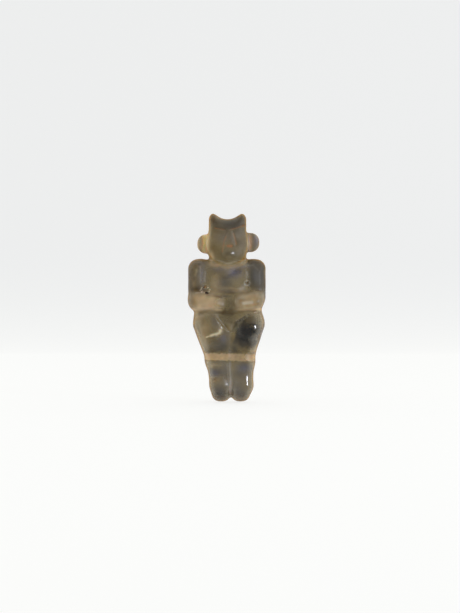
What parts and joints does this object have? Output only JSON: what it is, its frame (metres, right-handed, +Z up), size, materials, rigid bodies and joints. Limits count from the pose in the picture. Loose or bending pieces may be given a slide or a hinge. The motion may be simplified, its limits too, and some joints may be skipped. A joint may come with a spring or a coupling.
{
  "type": "carved stone fertility figure",
  "caption": "Standing stone fertility figure with horned crown, mask face, round ears, folded arms and rounded thighs.",
  "frame": {"origin": "on the floor, under the middle of the figure's box", "axes": "+Z up, the figure faces -Y, +X is the figure's left"},
  "size_m": [0.026, 0.0132, 0.0635],
  "materials": {
    "smoky_stone": "satin-polished, clear smoky honey stone that light passes through",
    "smoke_inclusion": "dense cloud of fine dark grains",
    "gold_inclusion": "pale golden feathered flake, slightly pearly",
    "veil_inclusion": "thin milky sheet with a bluish sheen",
    "grain_inclusion": "black crystal grain"
  },
  "bodies": {
    "root": {"carved_figure": "smoky_stone", "smoky_cloud": "smoke_inclusion", "gold_feather": "gold_inclusion", "blue_veil": "veil_inclusion", "dark_grain": "grain_inclusion"}
  },
  "joints": []
}
